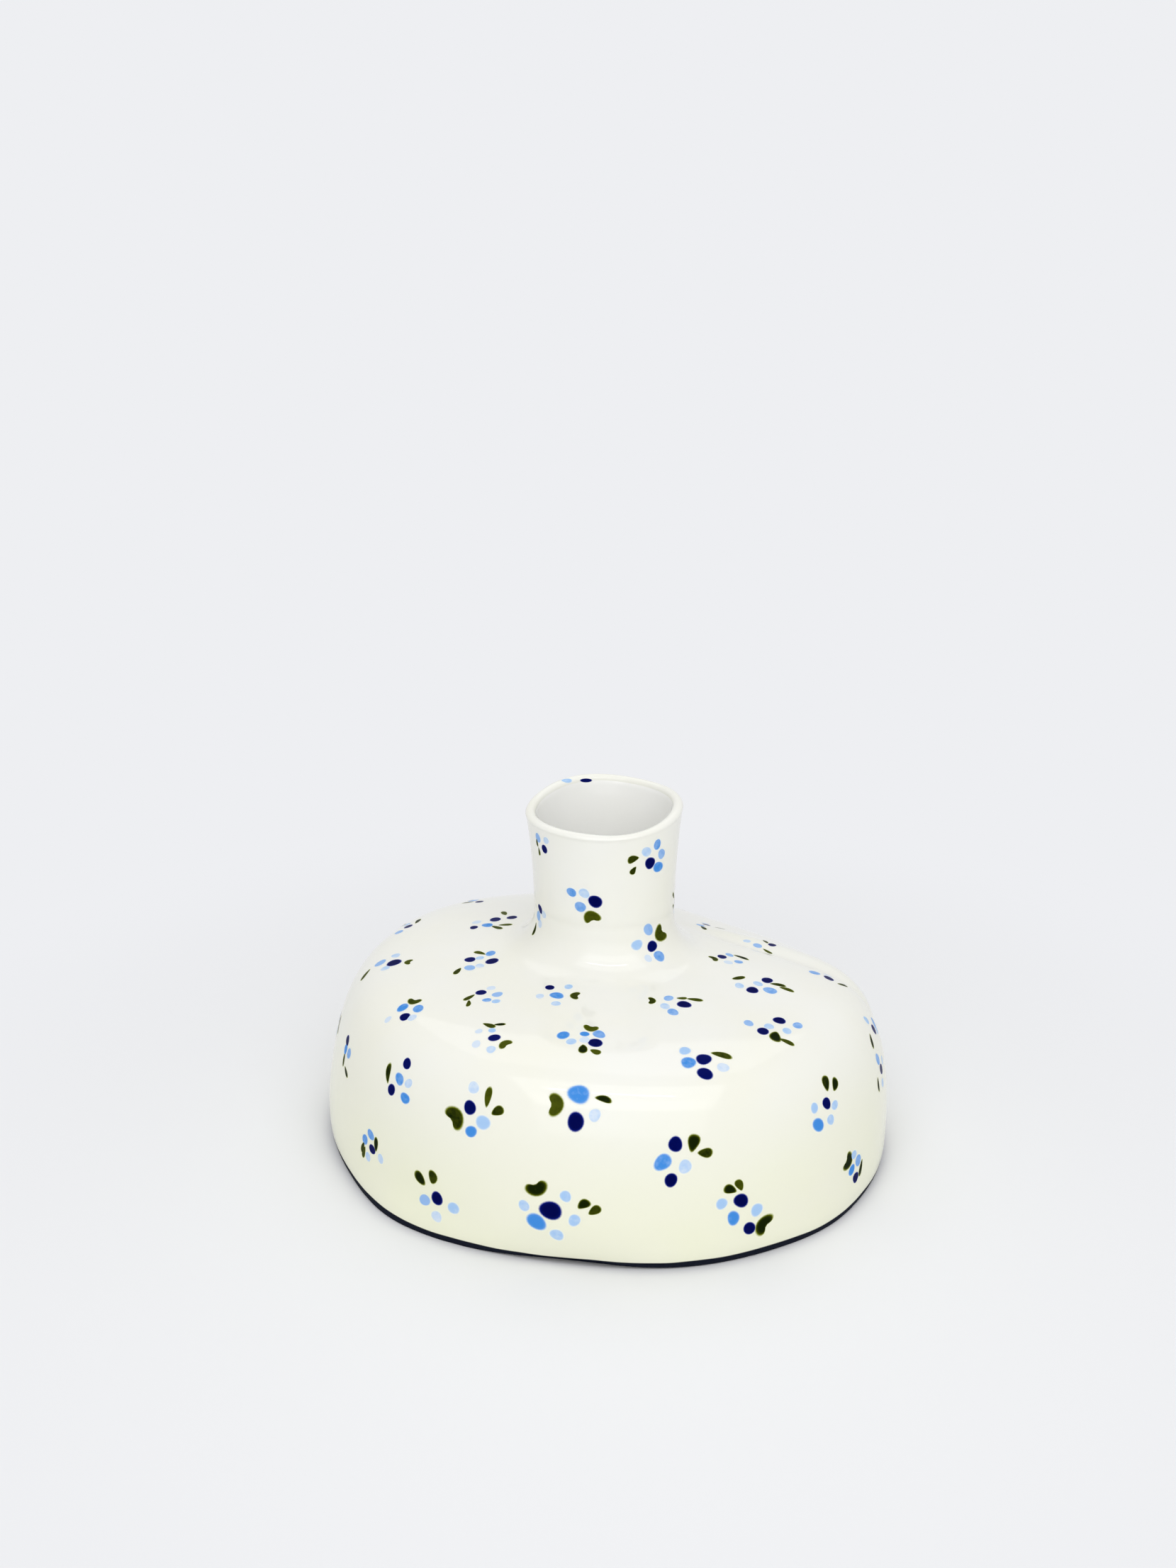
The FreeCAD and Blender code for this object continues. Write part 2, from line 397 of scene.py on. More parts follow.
def glazeShine(tree, place, colour, ior):
    waves = addNode(tree, "TexNoise", {"Vector": place, "Scale": 1 / (glaze["waveSize"] * mm),
                                       "Detail": 1})
    skin = addNode(tree, "Bump", {"Height": waves, "Strength": glaze["waveStrength"],
                                  "Distance": glaze["waveHeight"] * mm})
    shader = addNode(tree, "BsdfPrincipled", {"Base Color": colour, "Roughness": glaze["roughness"],
                                              "IOR": ior, "Normal": skin})
    addNode(tree, "OutputMaterial", {"Surface": shader})


def makeGlaze():
    material, tree = newMaterial("creamGlazedStoneware")
    place, colour = glazeColour(tree)
    glazeShine(tree, place, colour, glaze["ior"])
    return material


def makeLiner():
    # the white liner glaze, swilled round the inside and over the lip: a clean white, clouded with cream
    material, tree = newMaterial("whiteLinerGlaze")
    place = addNode(tree, "TexCoord", {}, "Object")
    cloud = addNode(tree, "TexNoise", {"Vector": place, "Scale": 1 / (glaze["blotchSize"] * mm)})
    colour = addNode(tree, "Mix", {0: cloud, 6: linear(glaze["liner"]), 7: linear(glaze["thin"])}, 2,
                     data_type="RGBA")
    glazeShine(tree, place, colour, glaze["ior"])
    return material


# Bare stoneware: the underside is wiped clean of glaze with a sponge, so it is dry, buff and grainy, and a
# band round the foot, dark and matt like slate, is painted shadow: the contact shadow under the rounded lower
# edge
clay = {
    "buff": ("#C9BDA6", "#DED5C2"),
    # the two dark colours next are painted shadow, the contact shadow round the foot
    "paintedShadow": ("#060A18", "#141A2A"),
    "grainSize": 0.9,           # mm
    "grainHeight": 0.2,
    "grainStrength": 0.4,
    "roughness": 0.85,
    "specular": 0.1,
    "shadowUnder": 0.93,          # the painted shadow wraps under the foot, from this share of the way out
    "glazeStarts": 2.7,         # height in mm
    "wander": 1.6,              # the upper edge of the painted shadow wanders up and down by this much
    "wanderSize": 30,
    "softEdge": 0.15,
    "higherOnLeft": 1.2,          # the painted shadow reaches higher towards the left end
    "moreFrom": -30,
    "mostAt": -80,
}


def clayShader(tree, place, colours):
    grain = addNode(tree, "TexNoise", {"Vector": place, "Scale": 1 / (clay["grainSize"] * mm),
                                       "Detail": 3})
    colour = addNode(tree, "Mix", {0: grain, 6: linear(colours[0]), 7: linear(colours[1])}, 2,
                     data_type="RGBA")
    rough = addNode(tree, "Bump", {"Height": grain, "Strength": clay["grainStrength"],
                                   "Distance": clay["grainHeight"] * mm})
    return addNode(tree, "BsdfPrincipled", {"Base Color": colour, "Roughness": clay["roughness"],
                                            "Specular IOR Level": clay["specular"], "Normal": rough})


def makeBareClay():
    material, tree = newMaterial("bareBuffStoneware")
    place = addNode(tree, "TexCoord", {}, "Object")
    addNode(tree, "OutputMaterial", {"Surface": clayShader(tree, place, clay["buff"])})
    return material


# painted shadow: a dark matt band round the foot stands for the contact shadow under its rounded edge
def makeFootShadow():
    material, tree = newMaterial("paintedFootShadow")
    place, cream = glazeColour(tree)
    paintedShadow = clayShader(tree, place, clay["paintedShadow"])
    glossy = addNode(tree, "BsdfPrincipled", {"Base Color": cream, "Roughness": glaze["roughness"],
                                              "IOR": glaze["ior"]})
    # the line where the painted shadow ends and the glaze starts
    slow = addNode(tree, "TexNoise", {"Vector": place, "Scale": 1 / (clay["wanderSize"] * mm)})
    across, height = (addNode(tree, "SeparateXYZ", {0: place}, axis) for axis in "XZ")
    left = addNode(tree, "MapRange", {"Value": across, "From Min": clay["moreFrom"] * mm,
                                      "From Max": clay["mostAt"] * mm,
                                      "To Max": -clay["higherOnLeft"] * mm})
    level = addNode(tree, "Math", {0: height, 1: left}, operation="ADD")
    line = addNode(tree, "Math", {0: slow, 1: -clay["wander"] * mm, 2: level}, operation="MULTIPLY_ADD")
    start = (clay["glazeStarts"] - clay["wander"] / 2) * mm
    share = addNode(tree, "MapRange", {"Value": line, "From Min": start - clay["softEdge"] * mm,
                                       "From Max": start + clay["softEdge"] * mm})
    both = addNode(tree, "MixShader", {0: share, 1: paintedShadow, 2: glossy})
    addNode(tree, "OutputMaterial", {"Surface": both})
    return material


creamGlaze, linerGlaze, bareClay, footShadow = makeGlaze(), makeLiner(), makeBareClay(), makeFootShadow()


def makeFloorSlab():
    # the underside is bare, painted shadow covers its rim and the lowest part of the edge, the rest is glazed
    edgeRows, edgeNormals = closed(outside[:slabEnd]), closed(outsideNormals[:slabEnd])
    middle = np.zeros_like(edgeRows[0])
    shares = (*slabForm["underRings"], clay["shadowUnder"], 1)
    under = np.array([middle + (edgeRows[0] - middle) * share for share in shares])
    innerEdge = closed(inside[:1])[0]
    over = [edgeRows[-1], innerEdge] + [innerEdge * [share, share, 1] for share in slabForm["insideRings"]]
    sheets = [(under, None, False), (edgeRows, edgeNormals, False), (np.array(over), None, False)]
    slab = makeMesh("floorSlab", sheets, bareClay, "base_slab")
    # the second material is the painted contact shadow round the foot
    slab.data.materials.append(footShadow)
    slab.data.materials.append(creamGlaze)
    underFaces = (len(under) - 2) * pillow["columns"]
    edgeFaces = slabEnd * pillow["columns"]
    for face in slab.data.polygons[underFaces:]:
        face.material_index = 1 if face.index < underFaces + edgeFaces else 2


def makeHalf(name, nodeName, columns):
    outer = outside[slabEnd - 1:bodyEnd][:, columns]
    normals = outsideNormals[slabEnd - 1:bodyEnd][:, columns]
    inner = inside[:, columns]
    innerNormals = -gridNormals(inside)[:, columns]
    sheets = [(outer, normals, False), (inner, innerNormals, True)]
    sheets.append((np.array([inner[0], outer[0]]), None, False))
    sheets.append((np.array([outer[-1], inner[-1]]), None, False))
    for column, turned in ((0, False), (-1, True)):
        sheets.append((np.stack([inner[:, column], outer[:, column]], axis=1), None, turned))
    makeMesh(name, sheets, creamGlaze, nodeName)


def makeCollar():
    outer, normals = closed(outside[bodyEnd - 1:]), closed(outsideNormals[bodyEnd - 1:])
    allInner = np.concatenate([outside[-2:], bore])
    innerNormals = closed(gridNormals(allInner)[1:])
    inner = closed(allInner[1:])
    under = np.array([inner[-1], outer[0]])
    sheets = [(outer, normals, False), (inner, innerNormals, False), (under, None, False)]
    collar = makeMesh("neckCollar", sheets, creamGlaze, "neck_collar")
    collar.data.materials.append(linerGlaze)
    for face in collar.data.polygons[(len(outer) - 1) * pillow["columns"]:]:
        face.material_index = 1


halfColumns = pillow["columns"] // 2
makeFloorSlab()
makeHalf("backHalf", "back_shell", list(range(halfColumns + 1)))
makeHalf("frontHalf", "front_shell", list(range(halfColumns, pillow["columns"])) + [0])
makeCollar()
print("clay pieces made")


# Camera, at the place and angle from which the photograph was taken
photoPixels = (1659, 2212)
lensPixels = 2300           # focal length in the photograph's pixels
view = {"at": (215.3, -475.1, 302.5), "down": 18.527, "turned": 25.059, "filmWidth": 36, "nearest": 10}

cameraData = bpy.data.cameras.new("photoCamera")
camera = bpy.data.objects.new("photoCamera", cameraData)
bpy.context.scene.collection.objects.link(camera)
camera.location = Vector(view["at"]) * mm
camera.rotation_euler = Euler((math.radians(90 - view["down"]), 0, math.radians(view["turned"])))
cameraData.sensor_width = view["filmWidth"]
cameraData.lens = view["filmWidth"] * lensPixels / max(photoPixels)
cameraData.clip_start = view["nearest"] * mm
bpy.context.scene.camera = camera
bpy.context.view_layer.update()
cameraTurn = camera.matrix_world.to_3x3()


# Painting: each dab is a thin closed pad of colour that follows the glaze
painted = {
    "lift": 0.06,       # how far the paint stands over the glaze
    "depth": 0.12,      # how far its underside lies in the glaze
    "points": 22,       # round each ring of a dab
    "seed": 11,
    "boreRows": 12,     # a mark on the lip may run over its edge
    "dabAbove": 6,      # each point of a dab comes down on the glaze from here, no further than its reach
    "dabReach": 16,
    "sprigAbove": 8,    # and the middle of a dab from here
    "sprigReach": 20,
    "sightReach": 2000,     # more than the way from the camera to the vase
    "wobble": (0.06, 0.05, 0.3),    # most change to an oval, to three lobes, and most bend of a stroke
    "wobbleTurn": 6.28,     # lobes start anywhere in a full turn
    "growth": (0.95, 1.05),
    "fullBrush": 2,         # how fast a bigger dab turns full
}
hoursRound = 12
degreesPerHour = 360 / hoursRound
skinOpen = np.concatenate([outside, bore[:painted["boreRows"]]])
skinGrid, skinNormals = closed(skinOpen), closed(gridNormals(skinOpen))
skinColumns = skinGrid.shape[1]
skinVerts = [Vector(point) * mm for point in skinGrid.reshape(-1, 3)]
skinNormalList = [Vector(normal) for normal in skinNormals.reshape(-1, 3)]
skinRowStarts = range(0, (len(skinGrid) - 1) * skinColumns, skinColumns)
skinFaces = [(start + c, start + c + 1, start + skinColumns + c + 1, start + skinColumns + c)
             for start in skinRowStarts for c in range(skinColumns - 1)]
skin = BVHTree.FromPolygons(skinVerts, skinFaces)
brush = random.Random(painted["seed"])


def skinHit(start, way, reach):
    # point and smooth normal where a ray meets the glaze
    place, normal, face, away = skin.ray_cast(start, way, reach)
    if place is None:
        return None, None
    weights = poly_3d_calc([skinVerts[i] for i in skinFaces[face]], place)
    smooth = sum((skinNormalList[i] * w for i, w in zip(skinFaces[face], weights)), Vector())
    return place, smooth.normalized()


# Rings of a dab from its middle out: share of its size, share of the lift, thickness of the paint
dabRings = ((0, 1, 1), (0.35, 1, 1), (0.65, 1, 1), (0.84, 0.9, 0.95), (0.97, 0.8, 0.6), (1.1, 0.6, 0.18),
            (1.2, 0.4, 0), (1.26, -0.8, 0))

# The brush marks: how far from the sprig's middle each sits, how long and wide it is in millimetres,
# how much it leans from pointing outwards in degrees, and how freely that varies
marks = {
    "cobalt": {"paint": "cobalt", "out": 3.6, "long": 4.6, "wide": 4.1, "lean": 30, "free": 50},
    "sky": {"paint": "sky", "out": 4, "long": 4.9, "wide": 4.1, "lean": 60, "free": 50},
    "pale": {"paint": "pale", "out": 4.6, "long": 4.0, "wide": 3.5, "lean": 60, "free": 50},
    "heart": {"paint": "leaf", "out": 7, "long": 7.4, "wide": 5.2, "lean": 90, "free": 10},
    "leaf": {"paint": "leaf", "out": 8, "long": 6, "wide": 2.5, "lean": 35, "free": 12},
    "bud": {"paint": "leaf", "out": 8, "long": 4.4, "wide": 3.1, "lean": 25, "free": 15},
    "cobaltStroke": {"paint": "cobalt", "out": 3.6, "long": 4.4, "wide": 1.3, "lean": 0, "free": 5},
    "paleStroke": {"paint": "pale", "out": 3.6, "long": 3.8, "wide": 1.7, "lean": 0, "free": 5},
}
# Shares of half the width of a stroke
strokeShape = {"width": 0.92, "drawnOut": 0.3, "bendMiddle": 0.4}
heartShape = {"notch": 0.5, "notchWidth": 0.45, "curl": 0.34, "curlMiddle": 0.1}
paints = {}


def brushEdge(mark, angle, wobble):
    # how far out the edge of a dab lies at this angle, along and across
    twoLobes, threeLobes, bend, twoStart, threeStart = wobble
    wave = 1 + twoLobes * math.cos(2 * angle + twoStart) + threeLobes * math.cos(3 * angle + threeStart)
    along, across = math.cos(angle) * wave, math.sin(angle) * wave
    if mark in ("leaf", "bud"):     # blunt where the brush lands, drawn out where it lifts
        across *= strokeShape["width"] + strokeShape["drawnOut"] * math.cos(angle)
        across += bend * (along ** 2 - strokeShape["bendMiddle"])
    if mark == "heart":             # two short strokes side by side, with a notch between their ends
        across += heartShape["notch"] * math.exp(-((angle - 3 * quarter) / heartShape["notchWidth"]) ** 2)
        across -= heartShape["curl"] * along ** 2 - heartShape["curlMiddle"]
    return along, across


def paintDab(mark, place, normal, longHalf, wideHalf, bigger):
    # longHalf and wideHalf lie on the surface, from the middle of the dab to its edge
    wobble = [brush.uniform(-most, most) for most in painted["wobble"]]
    wobble += [brush.uniform(0, painted["wobbleTurn"]) for _ in range(2)]
    shade = max(0, brush.random() - painted["fullBrush"] * max(0, bigger - 1))
    grown = []
    for share, lift, thickness in dabRings:
        for step in range(1 if share == 0 else painted["points"]):
            along, across = brushEdge(mark, 2 * math.pi * step / painted["points"], wobble)
            over = place + (longHalf * along + wideHalf * across) * share + normal * painted["dabAbove"] * mm
            hit, smooth = skinHit(over, -normal, painted["dabReach"] * mm)
            if hit is None:
                return False
            grown.append((hit, smooth, lift * painted["lift"] * mm, thickness))
    verts, faces, thick, tone, normals = paints.setdefault(marks[mark]["paint"], ([], [], [], [], []))
    first = len(verts)
    for hit, smooth, lift, thickness in grown:
        verts.append(hit + smooth * lift)
        thick.append(thickness)
        tone.append(shade)
        normals.append(smooth)
    for hit, smooth, lift, thickness in grown[:-painted["points"]]:
        verts.append(hit - smooth * painted["depth"] * mm)
        thick.append(0)
        tone.append(shade)
        normals.append(-smooth)
    lastRing = len(dabRings) - 1
    under = first + 1 + lastRing * painted["points"]

    def at(base, ring, step):
        return base if ring == 0 else base + 1 + (ring - 1) * painted["points"] + step % painted["points"]

    for ring in range(lastRing):
        for step in range(painted["points"]):
            upper = [at(first, ring, step), at(first, ring + 1, step), at(first, ring + 1, step + 1),
                     at(first, ring, step + 1)]
            faces.append(upper if ring else upper[:3])
            if ring + 1 < lastRing:
                lower = [at(under, ring, step), at(under, ring, step + 1), at(under, ring + 1, step + 1),
                         at(under, ring + 1, step)]
                faces.append(lower if ring else lower[1:])
            else:       # the rim joins the top to the underside
                faces.append([at(first, ring + 1, step + 1), at(first, ring + 1, step), at(under, ring, step),
                              at(under, ring, step + 1)])
    return True


def paintSprig(place, normal, sprig, wayTo):
    # wayTo gives the way on the surface that a clock hour points to
    size = sprig.get("size", 1)
    done = 0
    for mark, values in marks.items():
        for dab in sprig.get(mark, ()):
            if not isinstance(dab, tuple):
                dab = (dab, values["out"] * size)
            hour, out, bigger, strokeHour = (*dab, *(1, None)[len(dab) - 2:])    # the last two have defaults
            way = wayTo(place, normal, hour)
            over = place + way * out * mm + normal * painted["sprigAbove"] * mm
            spot, up = skinHit(over, -normal, painted["sprigReach"] * mm)
            if spot is None:
                continue
            outwards = (way - up * way.dot(up)).normalized()
            aside = up.cross(outwards)
            lean = math.radians(values["lean"] + brush.uniform(-1, 1) * values["free"])
            along = outwards * math.cos(lean) + aside * math.sin(lean)
            if strokeHour is not None:
                along = wayTo(spot, up, strokeHour)
                along = (along - up * along.dot(up)).normalized()
            grow = size * bigger * brush.uniform(*painted["growth"]) / 2 * mm
            longHalf, wideHalf = along * values["long"] * grow, up.cross(along) * values["wide"] * grow
            done += paintDab(mark, spot, up, longHalf, wideHalf, bigger)
    return done


# The sprigs that the photograph shows: the middle of each in the photograph's pixels, and the clock hour
# at which each dab sits round it as the camera sees it. A second number is how many millimetres out it
# sits, a third how much bigger it is than usual, a fourth the clock hour that the stroke itself points to.
sprigs = {
    "backLip": {"at": (814, 1101), "cobaltStroke": [(3, 3.3)], "paleStroke": [(9, 3.8)]},
    "neckLeftUpper": {"at": (763, 1182), "size": 0.72, "cobalt": [(12, 3.2), (5.4, 4)], "pale": [(4, 2.8)],
        "sky": [(9, 2)], "leaf": [(7.4, 4, 0.7), (6.2, 6.4, 0.7)]},
    "neckRightUpper": {"at": (917, 1210), "size": 0.88, "cobalt": [(6, 2, 1.1)], "pale": [(11, 3, 1.1)],
        "sky": [(1, 5, 0.85), (2.5, 5, 0.85), (4.6, 5.8)], "bud": [(8.7, 6.3), (7.6, 7, 0.75)]},
    "neckMiddle": {"at": (824, 1270), "size": 0.88, "cobalt": [(3.3, 3.8, 1.15)],
        "pale": [(12, 2.6, 1.15)], "sky": [(10, 5, 0.85), (7, 3)], "heart": [(5.2, 6.6)]},
    "neckLeftLower": {"at": (763, 1290), "size": 0.72, "cobalt": [(12, 2)], "pale": [(3, 2.5), (6, 3.4)],
        "sky": [(8, 2)], "leaf": [(6.5, 7)]},
    "neckRightLower": {"at": (913, 1333), "size": 0.88, "cobalt": [(3.5, 2)],
        "pale": [(9, 3.8, 1.15), (6, 4.5, 0.8)], "sky": [(12, 5.2), (4.5, 5.8)],
        "heart": [(1.7, 6.8, 1.05)]},
    "neckRightEdge": {"at": (950, 1271), "size": 0.75, "leaf": [(12, 2.2, 0.8), (6, 2.2, 0.8)],
        "cobalt": [(3, 4.5)], "sky": [(0.4, 6.5)], "pale": [(5.6, 6.5)]},
    "topFarLeft": {"at": (692, 1299), "size": 0.86, "cobalt": [(2.7, 8), (2.5, 2, 1.1), (8.3, 8, 0.8)],
        "pale": [(8.8, 5)], "sky": [(7.2, 4.5)], "leaf": [(2, 9), (3.5, 8), (4.5, 8)]},
    "topHorizonLeft": {"at": (667, 1273), "size": 0.8, "cobalt": [(2.8, 2.5)], "leaf": [(9, 2)],
        "sky": [(12, 4)], "pale": [(1.5, 6)], "bud": [(11, 8)]},
    "shoulderHorizonLeft": {"at": (576, 1307), "size": 0.8, "cobalt": [(2, 0)], "leaf": [(2, 5)],
        "sky": [(8, 5)], "pale": [(11, 4)], "bud": [(10, 8)]},
    "leftShoulder": {"at": (548, 1358), "size": 0.9, "cobalt": [(3, 2.5, 1.25)],
        "pale": [(7, 4), (1.5, 5)], "sky": [(9, 3.8)], "heart": [(2.8, 8, 0.6)], "leaf": [(8.4, 9)]},
    "topLeft": {"at": (677, 1356), "size": 0.84, "cobalt": [(9.3, 4), (3, 4.3, 1.15)],
        "pale": [(12, 2.5), (6, 3.5)], "sky": [(1.8, 6.4), (7.9, 5.5)], "leaf": [(12, 6.6), (8.2, 9.6)]},
    "topLeftNear": {"at": (689, 1403), "size": 0.78, "cobalt": [(9.5, 3)],
        "pale": [(12.8, 4.2), (4.4, 5.5)], "sky": [(3, 3), (6.5, 3.6, 0.8)],
        "leaf": [(8.7, 6.4), (8.2, 8, 0.8)]},
    "topMiddle": {"at": (782, 1401), "size": 0.8, "cobalt": [(10.7, 4, 0.9)],
        "pale": [(8.6, 5), (2.2, 6), (5.7, 6.6)], "sky": [(4.5, 1.8, 1.15)], "heart": [(3.2, 7.2, 0.75)]},
    "topRightNear": {"at": (954, 1417), "size": 0.86, "cobalt": [(3, 2.6, 1.1)], "pale": [(8.7, 4)],
        "sky": [(10.3, 4.2, 0.85), (6.8, 4.8)], "leaf": [(1.4, 4.4, 0.7, 3), (2.5, 7.3, 1, 3.2)],
        "heart": [(9.3, 8.2, 0.6)]},
    "topRight": {"at": (1029, 1352), "size": 0.8, "cobalt": [(9.4, 2.6)], "pale": [(6.5, 3.8)],
        "sky": [(12, 3.4, 0.8), (3.7, 3.6, 0.8)], "leaf": [(2.8, 5.4, 1.2, 3.6)],
        "heart": [(9, 6.3, 0.65)]},
    "topFarRight": {"at": (1070, 1389), "size": 0.86, "cobalt": [(2.1, 5), (7.6, 4.8, 1.1)],
        "pale": [(11, 0.5), (8.9, 7)], "sky": [(3.9, 4.8, 1.1)],
        "leaf": [(9.6, 7.2, 1, 2.7), (3, 7, 1, 3.3), (3.3, 9.6, 1, 3.6)]},
    "rightShoulder": {"at": (1088, 1448), "size": 0.9, "cobalt": [(1.8, 5.2), (8, 4.6)],
        "pale": [(9, 0.8), (3.5, 5.2)], "sky": [(9.3, 7.4, 0.85), (2.9, 9.6, 0.85)],
        "bud": [(5.2, 5.4, 1.45, 6)], "leaf": [(4.4, 8.2, 1, 3.8)]},
    "leftUpper": {"at": (571, 1428), "size": 0.88, "cobalt": [(6, 2.4)],
        "pale": [(4.2, 4.8), (8.4, 6.2, 0.8)], "sky": [(11.2, 3), (2.4, 4.6)], "heart": [(1.2, 5.8, 0.75)]},
    "frontLeftTop": {"at": (690, 1464), "size": 0.82, "cobalt": [(3, 1.7)],
        "pale": [(8.2, 4.6), (5.7, 5.6), (10.1, 5.2, 0.8), (12.7, 3.8, 0.8)],
        "leaf": [(12, 6.6, 1, 3.6), (1.2, 7.4, 0.8, 2.9)], "heart": [(3.7, 6.6, 0.8)]},
    "frontMiddleTop": {"at": (827, 1467), "size": 0.88, "cobalt": [(3.6, 3.2, 1.2)],
        "pale": [(8.8, 4.8), (9, 0.5)], "sky": [(2.2, 5.2), (9.4, 7.6), (11.5, 3.2, 0.7)],
        "heart": [(12.7, 6.8, 0.75)], "bud": [(6.7, 4.8, 1.1), (4.7, 6.6, 0.9)]},
    "frontRightTop": {"at": (987, 1498), "cobalt": [(1.9, 1.9, 1.1), (5.1, 4.8, 1.1)],
        "pale": [(10.3, 6.4), (3.4, 7.4)], "sky": [(8.9, 3.6, 1.05)], "leaf": [(2.4, 8.2, 1.1, 3.4)]},
    "leftEdge": {"at": (490, 1484), "size": 0.8, "cobalt": [(12, 4)], "sky": [(11, 2.2), (4.5, 2)],
        "leaf": [(6.9, 4), (6.2, 6.6)]},
    "leftWall": {"at": (562, 1527), "size": 0.85, "cobalt": [(12.7, 6.8), (7.5, 4.2)],
        "pale": [(3.2, 4.8)], "sky": [(12.6, 1.2), (5.3, 5.8)], "leaf": [(10.4, 6, 1.2, 12.2)]},
    "frontLeft": {"at": (665, 1566), "cobalt": [(11, 0.9)], "pale": [(12.1, 6.8), (4.6, 5.4, 1.3)],
        "sky": [(6.1, 6.6, 0.9)], "heart": [(8.2, 6.8, 1.1)], "leaf": [(1.7, 7)], "bud": [(3.1, 9)]},
    "frontMiddle": {"at": (812, 1563), "cobalt": [(6, 4.1, 1.25)], "pale": [(3.7, 6.2)],
        "sky": [(12.4, 4.2, 1.4)], "heart": [(9.3, 6.4)], "leaf": [(2.4, 8.8, 0.9, 3.5)]},
    "frontRight": {"at": (953, 1636), "cobalt": [(12, 4.8, 1.05), (6.4, 6.6)], "pale": [(4.2, 3.8, 1.15)],
        "sky": [(8.6, 4, 1.2)], "bud": [(1.6, 7.4, 1.3, 12.4), (2.6, 9.4, 1.05, 3)]},
    "lowerLeftEdge": {"at": (523, 1620), "size": 0.85, "cobalt": [(4, 1)], "pale": [(6.6, 4.2), (4.6, 6)],
        "sky": [(10.9, 4), (12, 5)], "leaf": [(1.8, 4.4, 1.1), (9.3, 5.5), (8.1, 5.6)]},
    "rightWall": {"at": (1164, 1567), "size": 0.88, "cobalt": [(12.4, 2.4)],
        "pale": [(9.5, 5), (2, 5), (4.9, 4)], "sky": [(6.8, 5.2, 1.15)],
        "bud": [(12.2, 8.6, 1.3, 11.7), (12.8, 9.8, 1.15, 12.2)]},
    "lowerRightEdge": {"at": (1207, 1643), "size": 0.88, "cobalt": [(6, 4.8)], "pale": [(11.7, 4.4)],
        "sky": [(1, 1.8), (7.2, 2.6)], "heart": [(9.8, 6)], "leaf": [(4, 4.6, 1.1, 6.3)]},
    "lowerLeft": {"at": (614, 1692), "cobalt": [(2, 1, 1.1)], "pale": [(3.9, 7.2, 1.1), (5.8, 5.8)],
        "sky": [(8.9, 4.6, 0.95)], "bud": [(10.8, 8.2, 1.3, 11), (11.8, 7.6, 1.15, 12)]},
    "lowerMiddle": {"at": (778, 1710), "cobalt": [(11, 0.6, 1.5)],
        "pale": [(1.4, 7.4), (9.4, 8.8), (3.7, 7.4, 1.1), (5.6, 8.2, 1.15)], "sky": [(7.9, 6.4, 1.35)],
        "heart": [(10.9, 9, 0.95)], "bud": [(2.6, 10.6), (3, 13.4)]},
    "lowerRight": {"at": (1049, 1707), "cobalt": [(11.5, 3.6, 1.1), (5.4, 7.2)],
        "pale": [(3, 4.7, 1.1), (9.5, 8.2)], "sky": [(7.7, 4)], "bud": [(11.7, 9, 0.9), (10.9, 9.2)],
        "heart": [(4.2, 10)]},
    "rightEdge": {"at": (1231, 1452), "size": 0.85, "cobalt": [(3, 1.5)], "pale": [(11, 4), (3, 6)],
        "sky": [(0.6, 6)], "leaf": [(6, 7)]},
    "rightEdgeBelow": {"at": (1240, 1508), "size": 0.85, "sky": [(11.8, 3.2)], "leaf": [(6, 5.5)],
        "cobalt": [(3, 3)], "pale": [(5.4, 6), (0.8, 7)]},
    "rightShoulderEdge": {"at": (1168, 1380), "size": 0.85, "cobalt": [(3, 0.5)], "sky": [(9.8, 5)],
        "leaf": [(3.7, 5.5)], "pale": [(12, 4)]},
    "ridgeNearNeck": {"at": (995, 1305), "size": 0.75, "cobalt": [(2.6, 1.5)], "sky": [(9, 3.5)],
        "leaf": [(3.4, 5.5), (7.4, 6.5)], "pale": [(12, 4.5)]},
    "ridgeFar": {"at": (1078, 1334), "size": 0.75, "sky": [(9, 2.5)], "leaf": [(12.6, 4.5), (5, 4.5)],
        "cobalt": [(2.7, 3.5)], "pale": [(9.5, 6.5)]},
}


def pixelRay(x, y):
    way = Vector(((x - photoPixels[0] / 2) / lensPixels, (photoPixels[1] / 2 - y) / lensPixels, -1))
    return (cameraTurn @ way).normalized()


def wayInPhoto(place, normal, hour):
    # the way on the surface that the camera sees pointing to this hour
    rightWay, upWay, backWay = (cameraTurn @ Vector(axis) for axis in ((1, 0, 0), (0, 1, 0), (0, 0, 1)))
    fromCamera = place - camera.location
    depth = -fromCamera.dot(backWay)
    first = normal.orthogonal().normalized()
    second = normal.cross(first)

    def seen(way):
        nearer = -way.dot(backWay)
        return (way.dot(rightWay) * depth - fromCamera.dot(rightWay) * nearer,
                way.dot(upWay) * depth - fromCamera.dot(upWay) * nearer)

    (a, c), (b, d) = seen(first), seen(second)
    angle = math.radians(degreesPerHour * hour)
    across, up = math.sin(angle), math.cos(angle)
    way = first * (across * d - up * b) + second * (up * a - across * c)
    return (way if a * d > b * c else -way).normalized()


dabsPainted = 0
sprigPlaces = []
for sprig in sprigs.values():
    place, normal = skinHit(camera.location, pixelRay(*sprig["at"]), painted["sightReach"] * mm)
    if place is not None:
        dabsPainted += paintSprig(place, normal, sprig, wayInPhoto)
        sprigPlaces.append(place)
print("dabs of the photographed sprigs:", dabsPainted)

